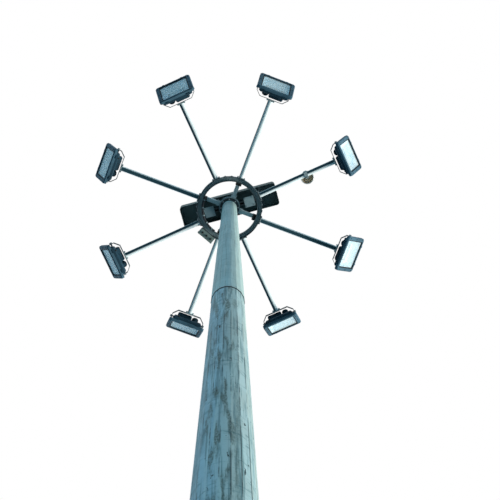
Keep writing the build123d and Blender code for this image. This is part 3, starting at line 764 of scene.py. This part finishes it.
def bolt(thread, stub=0.0, washer=True, sides=6, coat="fastener"):
    """A head or nut that sits on z 0, over a washer, with a stub of thread if it is a nut."""
    seat = 0.2 * thread if washer else 0.0
    tall = 0.65 * thread if sides == 6 else 0.4 * thread
    head = begin("cylinder", "head", vertices=sides, radius=0.87 * thread, depth=tall,
                 location=(0, 0, seat + tall / 2))
    pick(head, top_face)
    bpy.ops.mesh.inset(thickness=0.12 * thread)
    move(0, 0, 0.08 * thread)
    parts = [done(head, coat)]
    if washer:
        ring = begin("cylinder", "washer", vertices=14, radius=1.05 * thread, depth=seat, location=(0, 0, seat / 2))
        pick(ring, top_face)
        bpy.ops.mesh.inset(thickness=0.06 * thread)
        parts.append(done(ring, coat))
    if stub:
        rod = begin("cylinder", "stub", vertices=12, radius=0.5 * thread, depth=stub + tall,
                    location=(0, 0, seat + (stub + tall) / 2))
        pick(rod, top_face)
        bpy.ops.mesh.inset(thickness=0.1 * thread, depth=0.06 * thread)
        parts.append(done(rod, coat))
    return join(parts, "bolt_master")


def weld_ring(radius, bead, segments):
    """A rippled bead round a joint, in the plane z 0."""
    ring = begin("torus", "weld", major_radius=radius, minor_radius=bead, major_segments=segments, minor_segments=6)
    bpy.ops.transform.vertex_random(offset=bead * 0.25)
    return done(ring, "weld", 60)


def weld_run(length, bead):
    """A rippled bead along local x, cut into steps of about 30 mm."""
    run = begin("cylinder", "weld", vertices=6, radius=bead, depth=length, rotation=(0, pi / 2, 0))
    bpy.ops.mesh.subdivide(number_cuts=max(3, int(length / 0.03)))
    bpy.ops.transform.vertex_random(offset=bead * 0.22)
    return done(run, "weld", 60)


def plate(wide, tall, thick, edge, coat, name):
    """A plate that stands on z 0, with its edges taken off."""
    slab = begin("cube", name, size=1)
    resize(wide, tall, thick)
    move(0, 0, thick / 2)
    bpy.ops.mesh.bevel(offset=edge, segments=1)
    return done(slab, coat)


# %% [markdown]
# ## The foot of the mast
# The flange stands on twelve anchor studs, each with a washer and nut, and the
# mast and its gussets are welded to it with rippled beads.

# %% Anchor nuts and welds at the foot
FACET_BEARING = -64.6
ANCHORS, ANCHOR_RADIUS, ANCHOR_THREAD = 12, 0.345, 0.030
GUSSETS, GUSSET_REACH, GUSSET_HALF = 6, 0.150, 0.006
FOOT_RADIUS = 0.242
LEAN = 0.0013  # of the wall, at the middle of a gusset's upright weld
flange_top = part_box("base_flange")[1].z
gusset_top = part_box("base_gussets")[1].z
first_anchor = FACET_BEARING + 180 / ANCHORS

anchors = [polar(first_anchor + index * 360 / ANCHORS, ANCHOR_RADIUS, flange_top) for index in range(ANCHORS)]
repeat(bolt(ANCHOR_THREAD, stub=0.028), anchors, "anchor_nuts")
repeat(weld_ring(FOOT_RADIUS, 0.007, 90), [shift(0, 0, flange_top)], "foot_weld")
sides = [(index * 360 / GUSSETS + FACET_BEARING, side * GUSSET_HALF) for index in range(GUSSETS) for side in (-1, 1)]
low_runs = [polar(bearing, FOOT_RADIUS + GUSSET_REACH / 2, flange_top) @ shift(0, off, 0) for bearing, off in sides]
repeat(weld_run(GUSSET_REACH, 0.005), low_runs, "gusset_foot_welds")
wall_radius = FOOT_RADIUS * cos(pi / MAST_SIDES) - LEAN
tall_runs = [on_wall(bearing, wall_radius, (flange_top + gusset_top) / 2, off) for bearing, off in sides]
repeat(weld_run(gusset_top - flange_top - 0.01, 0.005), tall_runs, "gusset_mast_welds")
print("foot dressed, nuts", ANCHORS)

# %% [markdown]
# ## Door, seams and sleeve joint
# The winch door has hinges on one side and triangular-key locks on the other. A
# welded seam runs up one arris of each section, and a near-black band under the
# rim of the sleeve, where the upper section slides over the lower, is painted shade.

# %% Door fittings
DOOR_BEARING = 115.4
LOCK_SIDE, LOCK_STEP = 0.062, 0.24
KEY_LIFT = 0.017
HINGE_SIDE, HINGE_STEP = -0.090, 0.22
EARTH_TURN, EARTH_RADIUS, EARTH_Z = 20, 0.2385, 0.36
door_z = middle("base_door").z
door_face = polar(DOOR_BEARING, 0, 0)
door_out = reach_of("base_door", DOOR_BEARING)


def locks(out):
    return [door_face @ shift(out, LOCK_SIDE, door_z + step) @ outward for step in (-LOCK_STEP, LOCK_STEP)]


repeat(bolt(0.026, sides=16), locks(door_out), "door_locks")
repeat(bolt(0.010, washer=False, sides=3), locks(door_out + KEY_LIFT), "door_lock_keys")
barrel = begin("cylinder", "hinge", vertices=14, radius=0.010, depth=0.09)
pick(barrel, lambda centre, normal: abs(normal.z) > 0.9)
bpy.ops.mesh.inset(thickness=0.003, depth=0.002)
hinge_spots = [door_face @ shift(door_out + 0.004, HINGE_SIDE, door_z + step) for step in (-HINGE_STEP, HINGE_STEP)]
repeat(done(barrel, "galvanised"), hinge_spots, "door_hinges")
repeat(bolt(0.012, stub=0.02), [on_wall(DOOR_BEARING - EARTH_TURN, EARTH_RADIUS, EARTH_Z)], "earth_stud")

# %% Seams, and painted shade under the sleeve
SEAM_BEARING = ARRIS_BEARING + 220
JOINT_RADIUS = 0.165     # of the lower section, where the sleeve begins
RIM_RADIUS = 0.1703      # of the upper section's lower rim
TOP_RADIUS = 0.1145
SEAM_START, SEAM_STOP = 0.3, 0.04
# The size and drop of the near-black band under the sleeve rim, which is painted shade.
SHADOW_BAND_TALL, SHADOW_BAND_DROP, SHADOW_BAND_INSIDE = 0.026, 0.0132, 0.967
joint_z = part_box("upper_section")[0].z
mast_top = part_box("upper_section")[1].z


def up_wall(radius, z, taper):
    """Local x points up a wall that leans in by its taper."""
    return polar(SEAM_BEARING, radius, z) @ Matrix.Rotation(pi / 2 - atan2(taper, 1), 4, "Y")


low_taper = (FOOT_RADIUS - JOINT_RADIUS) / (joint_z - flange_top)
low_middle = (joint_z + flange_top + SEAM_START) / 2
low_place = up_wall(FOOT_RADIUS - low_taper * (low_middle - flange_top), low_middle, low_taper)
repeat(weld_run(joint_z - flange_top - SEAM_START, 0.0035), [low_place], "seam_lower")
high_taper = (RIM_RADIUS - TOP_RADIUS) / (mast_top - joint_z)
high_place = up_wall((RIM_RADIUS + TOP_RADIUS) / 2, (mast_top + joint_z) / 2, high_taper)
repeat(weld_run(mast_top - joint_z - SEAM_STOP, 0.003), [high_place], "seam_upper")
# A near-black band just under the rim of the upper section is painted shade. It gives the shadow line of the sleeve.
sealant = begin("cylinder", "sleeve_shadow_band", vertices=MAST_SIDES, radius=RIM_RADIUS - 0.0004,
                depth=SHADOW_BAND_TALL, end_fill_type="NOTHING")
bpy.ops.mesh.extrude_region_move()
resize(SHADOW_BAND_INSIDE, SHADOW_BAND_INSIDE, 1)
shadow_band_place = shift(0, 0, joint_z - SHADOW_BAND_DROP) @ Matrix.Rotation(radians(ARRIS_BEARING - 90), 4, "Z")
repeat(done(sealant, "sealant"), [shadow_band_place], "sleeve_shadow_band")
print("door, seams and sleeve dressed")

# %% [markdown]
# ## The head
# Bolts show under the collar and at the corners of the rope guards. Keeper plates
# hold the sheave pins, tie bolts hold the cheeks, and screws hold the hood's skirt.

# %% Head fastenings
BEAM_BEARING = 9.4
CHEEK_FACE = 0.026
COLLAR_BOLT_RADIUS = 0.134
GUARD_MIDDLE, GUARD_HALF = 0.325, 0.060
TIE_OUT, TIE_EDGE = 0.515, 0.03
beam = Matrix.Rotation(radians(BEAM_BEARING), 4, "Z")
collar_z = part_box("mast_collar")[0].z
guard_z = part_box("rope_guards")[0].z
hub_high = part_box("head_hub")[1]
cheek_low, cheek_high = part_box("beam_cheeks")


def on_cheeks(out, z, lift=0.0):
    """The same spot on the outer faces of both cheeks."""
    return [beam @ facing((out, side * (CHEEK_FACE + lift), z), (0, side, 0)) for side in (-1, 1)]


small = bolt(0.012)
collar_spots = [polar(22.5 + 45 * index, COLLAR_BOLT_RADIUS, collar_z) @ downward for index in range(8)]
repeat(small, collar_spots, "collar_bolts", keep=True)
corners = [
    beam @ shift(out * GUARD_MIDDLE + x * GUARD_HALF, y * GUARD_HALF, guard_z) @ downward
    for out in (-1, 1) for x in (-1, 1) for y in (-1, 1)
]
repeat(small, corners, "guard_bolts", keep=True)
tie_spots = [(out, z) for out in (-TIE_OUT, TIE_OUT) for z in (cheek_low.z + TIE_EDGE, cheek_high.z - TIE_EDGE)]
repeat(small, [place for out, z in tie_spots for place in on_cheeks(out, z)], "cheek_tie_bolts")
tube = begin("cylinder", "spacer", vertices=14, radius=0.011, depth=0.036, rotation=(pi / 2, 0, 0))
pick(tube, lambda centre, normal: abs(normal.y) > 0.9)
bpy.ops.mesh.inset(thickness=0.003, depth=-0.001)
repeat(done(tube, "dark_steel"), [beam @ shift(out, 0, z) for out, z in tie_spots], "cheek_spacers")

# %% Keeper plates on the sheave pins
ROPE_OUT = 0.469
SHEAVE_RADIUS = 0.110
OUTER_SHEAVE = (ROPE_OUT - SHEAVE_RADIUS, 0.131)
INNER_SHEAVE = (0.140, 0.161)
KEEPER_THICK, KEEPER_DROP, KEEPER_BOLT = 0.004, 0.019, 0.018
sheaves = [(side * out, hub_high.z + rise) for out, rise in (OUTER_SHEAVE, INNER_SHEAVE) for side in (1, -1)]
keeper = plate(0.050, 0.018, KEEPER_THICK, 0.0015, "bright_steel", "keeper")
tiny = bolt(0.007, washer=False)
keepers = [place for out, z in sheaves for place in on_cheeks(out, z - KEEPER_DROP)]
keeper_bolts = [
    place for out, z in sheaves for step in (-KEEPER_BOLT, KEEPER_BOLT)
    for place in on_cheeks(out + step, z - KEEPER_DROP, KEEPER_THICK)
]
repeat(keeper, keepers, "pin_keepers")
repeat(tiny, keeper_bolts, "keeper_bolts", keep=True)

# %% Hood screws and spoke welds
HOOD_HALF_LENGTH, HOOD_HALF_WIDTH = 0.780, 0.180
SKIRT_RISE, SCREW_STEP = 0.030, 0.17
HUB_SIDE, GUSSET_OUT, GUSSET_TURN = 0.1645, 0.182, 12
skirt_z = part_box("hood")[0].z + SKIRT_RISE
skirt = []
for step in range(-4, 5):
    skirt += [beam @ facing((step * SCREW_STEP, side * HOOD_HALF_WIDTH, skirt_z), (0, side, 0)) for side in (-1, 1)]
for across in (-0.10, 0, 0.10):
    skirt += [beam @ facing((end * HOOD_HALF_LENGTH, across, skirt_z), (end, 0, 0)) for end in (-1, 1)]
repeat(tiny, skirt, "hood_screws")
spoke_low, spoke_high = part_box("head_spokes")
spoke_bearings = [45 + 90 * index for index in range(4)]
quarter = Matrix.Rotation(pi / 2, 4, "Z")
hub_welds = [polar(b, HUB_SIDE, z) @ quarter for b in spoke_bearings for z in (spoke_low.z, spoke_high.z)]
repeat(weld_run(0.056, 0.004), hub_welds, "spoke_welds")
gusset = begin("cube", "hub_gusset", size=1)
resize(0.07, 0.008, 0.06)
pick(gusset, lambda centre, normal: normal.x > 0.9)
resize(1, 1, 0.25)
move(0, 0, 0.02)
web_z = (spoke_low.z + spoke_high.z) / 2
gussets = [polar(b + side * GUSSET_TURN, GUSSET_OUT, web_z) for b in spoke_bearings for side in (-1, 1)]
repeat(done(gusset, "head_steel"), gussets, "hub_gussets")
print("head dressed")

# %% [markdown]
# ## The lamp carriage
# Every arm meets the ring in a bolted root plate and ends in a shoe that holds a
# stirrup. The ring is bolted up from segments with splice plates, the supply cable
# is clipped inside it, and the junction box has glands, latches and lid screws.

# %% Arm roots and shoes
ARMS = 8
ARM_RADIUS = 0.038
ring_low, ring_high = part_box("carriage_ring")
ring_radius = ring_high.x
ring_z = (ring_low.z + ring_high.z) / 2
arm_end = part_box("arm_tubes")[1].x
bearings = [index * 360 / ARMS for index in range(ARMS)]


def corners_of(bearings, radius, half_wide, half_tall):
    """The four corners of a plate at every bearing."""
    return [
        on_wall(b, radius, ring_z, y, z)
        for b in bearings for y in (-half_wide, half_wide) for z in (-half_tall, half_tall)
    ]


root = plate(0.096, 0.130, 0.014, 0.003, "ring_steel", "root_plate")
repeat(root, [on_wall(b, ring_radius - 0.005, ring_z) for b in bearings], "arm_root_plates", "carriage")
m12 = bolt(0.012)
repeat(m12, corners_of(bearings, ring_radius + 0.009, 0.052, 0.034), "arm_root_bolts", "carriage", keep=True)
shoe_bolts = [place @ downward for place in corners_of(bearings, arm_end, 0.051, 0.036)]
repeat(m12, shoe_bolts, "shoe_bolts", "carriage", keep=True)
arm_weld = weld_ring(ARM_RADIUS, 0.005, 24)
root_welds = [on_wall(b, ring_radius + 0.010, ring_z) for b in bearings]
repeat(arm_weld, root_welds, "arm_root_welds", "carriage", keep=True)
repeat(arm_weld, [on_wall(b, arm_end - 0.001, ring_z) for b in bearings], "arm_shoe_welds", "carriage")

# %% Ring splices, cable clips and rope sockets
SPLICE_TURN, SPLICE_RISE = 5.6, 0.02
CLIP_BEARINGS = (156, 173, 190, 207, 224)
CABLE_RADIUS = 0.014
SOCKET_TALL = 0.075
splice_bearings = [22.5 + 90 * index for index in range(4)]
splice = plate(0.070, 0.150, 0.006, 0.002, "ring_steel", "splice")
repeat(splice, [on_wall(b, ring_radius - 0.003, ring_z) for b in splice_bearings], "ring_splices", "carriage")
splice_bolts = [
    on_wall(b + turn, ring_radius + 0.001, ring_z + z)
    for b in splice_bearings for turn in (-SPLICE_TURN, SPLICE_TURN) for z in (-SPLICE_RISE, SPLICE_RISE)
]
repeat(m12, splice_bolts, "splice_bolts", "carriage")
clip = begin("cylinder", "clip", vertices=16, radius=0.0155, depth=0.016, end_fill_type="NOTHING",
             rotation=(pi / 2, 0, 0))
bpy.ops.mesh.extrude_region_move()
resize(1.1, 1, 1.1)
cable_arc = -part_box("ring_cable")[0].x - CABLE_RADIUS
clip_spots = [polar(b, cable_arc, middle("ring_cable").z) for b in CLIP_BEARINGS]
repeat(done(clip, "galvanised"), clip_spots, "cable_clips", "carriage")
socket = begin("cone", "socket", vertices=16, radius1=0.017, radius2=0.009, depth=SOCKET_TALL)
pick(socket, lambda centre, normal: abs(normal.z) > 0.9)
bpy.ops.mesh.inset(thickness=0.002, depth=0.001)
socket_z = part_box("rope_anchors")[1].z + SOCKET_TALL / 2
sockets = [beam @ shift(out, 0, socket_z) for out in (-ROPE_OUT, ROPE_OUT)]
repeat(done(socket, "bright_steel"), sockets, "rope_sockets", "carriage")

# %% Junction box fittings
BOX_BEARING = 155
GLAND_OUT = 0.045
box_z = middle("junction_box").z
box_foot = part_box("junction_box")[0].z
lid_out = reach_of("junction_box_lid", BOX_BEARING)

lid_screws = [on_wall(BOX_BEARING, lid_out, box_z, y, z) for y in (-0.118, 0.118) for z in (-0.054, 0.054)]
repeat(bolt(0.007, sides=12), lid_screws, "box_lid_screws", "carriage")
gland = bolt(0.020, stub=0.016, washer=False, coat="guide_rubber")
glands = [polar(BOX_BEARING, ring_radius + GLAND_OUT, box_foot) @ shift(0, y, 0) @ downward for y in (-0.08, 0, 0.08)]
repeat(gland, glands, "box_glands", "carriage")
latch = plate(0.020, 0.034, 0.006, 0.002, "bright_steel", "latch")
latches = [on_wall(BOX_BEARING, lid_out - 0.001, box_z, y) for y in (-0.125, 0.125)]
repeat(latch, latches, "box_latches", "carriage")
print("carriage dressed")

# %% [markdown]
# ## Floodlights
# All eight lamps are alike, so each fitting is modelled once in the lamp's own
# frame: x along the tilt pins, y up the glass and z out of the front. The frame of
# each lamp comes from its joint and its pane, so the fittings follow its aim.

# %% The lamps' own frames
lamps = {}
for joint in frame["joints"]:
    if joint["name"].endswith("tilt"):
        number = joint["name"].split("_")[1]
        pivot = Vector(joint["pos_m"])
        ahead = (middle(f"lamp_{number}_glass") - pivot).normalized()
        across = Vector((0, 0, 1)).cross(ahead).normalized()
        upward = ahead.cross(across)
        lamps[number] = Matrix.Translation(pivot) @ Matrix((across, upward, ahead)).transposed().to_4x4()
print("lamps", {n: [round(v, 2) for v in m.col[2][:3]] for n, m in lamps.items()})


def on_lamps(master, name, places=None):
    """Set a master on every lamp, once or at each of the local places."""
    for number, lamp in lamps.items():
        spots = [lamp @ place for place in (places or [Matrix()])]
        repeat(master, spots, f"lamp_{number}_{name}", f"floodlight_{number}", keep=True)
    bpy.data.objects.remove(master)


def both_sides(x):
    return [shift(side * x, 0, 0) for side in (-1, 1)]


# %% Reflector, burner and holders
OPEN_WIDE, OPEN_TALL = 0.446, 0.386
HOLDER_OUT = 0.122
TROUGH_DEEP, TROUGH_MIDDLE = 0.092, 0.067
trough = begin("cube", "reflector", size=1)
resize(OPEN_WIDE, OPEN_TALL, TROUGH_DEEP)
move(0, 0, TROUGH_MIDDLE)
pick(trough, lambda centre, normal: normal.z < -0.9)
resize(0.82, 0.46, 1)
pick(trough, top_face)
bpy.ops.mesh.delete(type="FACE")
everything()
bpy.ops.mesh.bevel(offset=0.045, segments=5, profile=0.5)
everything()
bpy.ops.mesh.normals_make_consistent(inside=True)
bpy.ops.mesh.solidify(thickness=0.0015)
on_lamps(done(trough, "reflector", 40), "reflector")

burner = begin("cylinder", "burner", vertices=18, radius=0.013, depth=0.20, rotation=(0, pi / 2, 0),
               location=(0, 0, 0.060))
pick(burner, lambda centre, normal: abs(normal.x) > 0.9)
bpy.ops.mesh.inset(thickness=0.005, depth=0.006)
on_lamps(done(burner, "quartz"), "burner")
holder = begin("cube", "holder", size=1, location=(0, 0, 0.045))
resize(0.030, 0.036, 0.050)
bpy.ops.mesh.bevel(offset=0.004, segments=2)
on_lamps(done(holder, "ceramic"), "burner_holders", both_sides(HOLDER_OUT))

# %% Gasket, latches, hinges and frame screws
GLASS_FRONT, HALF_TALL = 0.122, 0.230
CATCH_OUT, HINGE_OUT = 0.15, 0.17
SCREW_OUT, SCREW_UP, SCREW_FRONT = 0.257, 0.165, 0.140
# The gasket is a real seal round the glass. It is made wider than a seal, so that its black band also gives the
# painted shade of the frame's lip round the glass.
gasket_and_shade = begin("plane", "gasket_and_shade", size=1, location=(0, 0, GLASS_FRONT + 0.0002))
resize(0.4598, 0.3998, 1)
bpy.ops.mesh.inset(thickness=0.016)
bpy.ops.mesh.delete(type="FACE")
everything()
bpy.ops.mesh.extrude_region_move(TRANSFORM_OT_translate={"value": (0, 0, 0.004)})
on_lamps(done(gasket_and_shade, "sealant"), "gasket_and_shade")
catch = begin("cube", "catch", size=1, location=(0, HALF_TALL + 0.004, 0.108))
resize(0.030, 0.008, 0.054)
pick(catch, top_face)
bpy.ops.mesh.inset(thickness=0.001, depth=0.002)
move(0, -0.004, 0)
on_lamps(done(catch, "lamp_frame"), "catches", both_sides(CATCH_OUT))
knuckle = begin("cylinder", "knuckle", vertices=12, radius=0.008, depth=0.055, rotation=(0, pi / 2, 0),
                location=(0, -HALF_TALL - 0.003, 0.092))
pick(knuckle, lambda centre, normal: abs(normal.x) > 0.9)
bpy.ops.mesh.inset(thickness=0.003, depth=-0.002)
on_lamps(done(knuckle, "lamp_body"), "hinges", both_sides(HINGE_OUT))
frame_screws = [shift(side * SCREW_OUT, y, SCREW_FRONT) for side in (-1, 1) for y in (-SCREW_UP, 0, SCREW_UP)]
on_lamps(bolt(0.008, washer=False, coat="lamp_body"), "frame_screws", frame_screws)

# %% Ribs on the gear drum, the cap's grip, pin nuts and the gland
DRUM_RADIUS, DRUM_MIDDLE, RIB_STEP = 0.098, 0.057, 0.022
STIRRUP_OUTSIDE = 0.259
rib = begin("cylinder", "rib", vertices=48, radius=DRUM_RADIUS + 0.004, depth=0.004, rotation=(0, pi / 2, 0))
bpy.ops.mesh.bisect(plane_co=(0, 0, -0.006), plane_no=(0, 0, 1), clear_outer=True, use_fill=True)
on_lamps(done(rib, "lamp_body"), "drum_ribs", [shift(DRUM_MIDDLE + step * RIB_STEP, 0, 0) for step in range(-4, 5)])
grip = begin("cylinder", "grip", vertices=24, radius=0.0490, depth=0.030, location=(-0.118, 0, -0.054))
pick(grip, lambda centre, normal: abs(normal.z) < 0.1)
bpy.ops.mesh.inset(thickness=0.0012, depth=0.0022, use_individual=True)
on_lamps(done(grip, "lamp_body", 20), "cap_grip")
pin_spots = [facing((side * STIRRUP_OUTSIDE, 0, 0), (side, 0, 0)) for side in (-1, 1)]
on_lamps(bolt(0.024), "pin_nuts", pin_spots)
gland = bolt(0.018, stub=0.010, washer=False, coat="guide_rubber")
on_lamps(gland, "gland", [facing((0.15, -0.152, 0.02), (0, -1, -0.35))])
print("floodlights dressed", len(lamps))

# %% [markdown]
# ## Round spot lamp
# The small spot looks straight down beside arm 1. Its bowl is a golden reflector
# round a bulb, and its clamp closes with two bolts. The bowl is lathed from a
# circle by extruding and shrinking rings, which leaves its rim open and exact.

# %% Spot lamp
BOWL_STEPS = ((0.95, 0.022), (0.88, 0.026), (0.74, 0.024), (0.50, 0.016))  # how far each ring shrinks and rises
BOWL_RISE, BULB_RISE = 0.002, 0.042
CLAMP_HALF = 0.046
spot = middle("spot_glass")
glass_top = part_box("spot_glass")[1].z
clamp_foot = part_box("spot_clamp")[0].z
rim_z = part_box("spot_housing")[0].z
bowl = begin("circle", "spot_reflector", vertices=40, radius=0.086)
for shrink, rise in BOWL_STEPS:
    bpy.ops.mesh.extrude_edges_move(TRANSFORM_OT_translate={"value": (0, 0, rise)})
    resize(shrink, shrink, 1)
bpy.ops.mesh.edge_face_add()
everything()
bpy.ops.mesh.normals_make_consistent(inside=True)
bpy.ops.mesh.solidify(thickness=0.001)
bowl = done(bowl, "gold_reflector", 50)
repeat(bowl, [shift(spot.x, spot.y, glass_top + BOWL_RISE)], "spot_reflector", "carriage")
bulb = begin("uv_sphere", "spot_bulb", segments=20, ring_count=12, radius=0.028)
pick(bulb, lambda centre, normal: centre.z > 0.012)
resize(0.6, 0.6, 1.5)
repeat(done(bulb, "quartz", 60), [shift(spot.x, spot.y, glass_top + BULB_RISE)], "spot_bulb", "carriage")
clamp_spots = [facing((spot.x, side * CLAMP_HALF, clamp_foot), (0, 0, -1)) for side in (-1, 1)]
repeat(bolt(0.010), clamp_spots, "spot_clamp_bolts", "carriage")
rim_ring = begin("torus", "spot_rim", major_radius=0.0955, minor_radius=0.0045, major_segments=48, minor_segments=8)
pick(rim_ring, lambda centre, normal: normal.z > 0.5)
resize(1, 1, 0.2)
repeat(done(rim_ring, "bright_steel", 60), [shift(spot.x, spot.y, rim_z)], "spot_rim", "carriage")
print("spot dressed")
